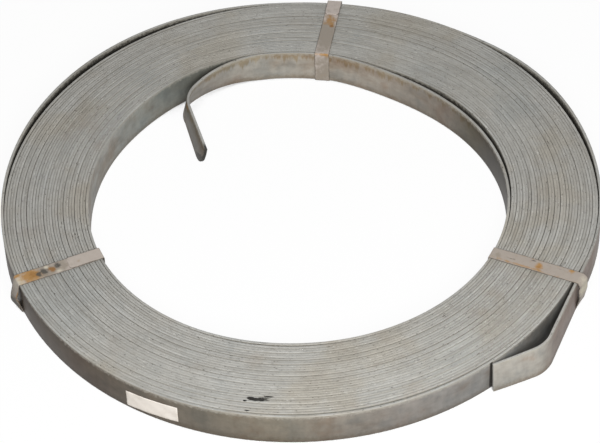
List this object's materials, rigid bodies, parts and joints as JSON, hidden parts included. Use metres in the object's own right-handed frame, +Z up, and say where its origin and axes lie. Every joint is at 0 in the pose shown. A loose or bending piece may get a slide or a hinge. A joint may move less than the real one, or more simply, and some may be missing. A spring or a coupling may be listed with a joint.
{
  "type": "coil of galvanized steel strip",
  "caption": "Flat coil of galvanized steel strip, wound on edge around an open bore and tied with steel straps, with a bent outer end and a hooked inner end.",
  "frame": {"origin": "on the coil's axis, at the floor under the straps", "axes": "+Z up along the coil's axis, +X to the right and +Y away from the viewer in the picture"},
  "size_m": [0.6661, 0.6632, 0.0428],
  "materials": {
    "galvanized_steel": "matt hot-dip zinc",
    "strapping_steel": "dull, with rust in places",
    "label_paper": "matt"
  },
  "bodies": {
    "root": {"strip_coil": "galvanized_steel", "strap_back": "strapping_steel", "strap_left": "strapping_steel", "strap_right": "strapping_steel", "label": "label_paper"}
  },
  "joints": []
}
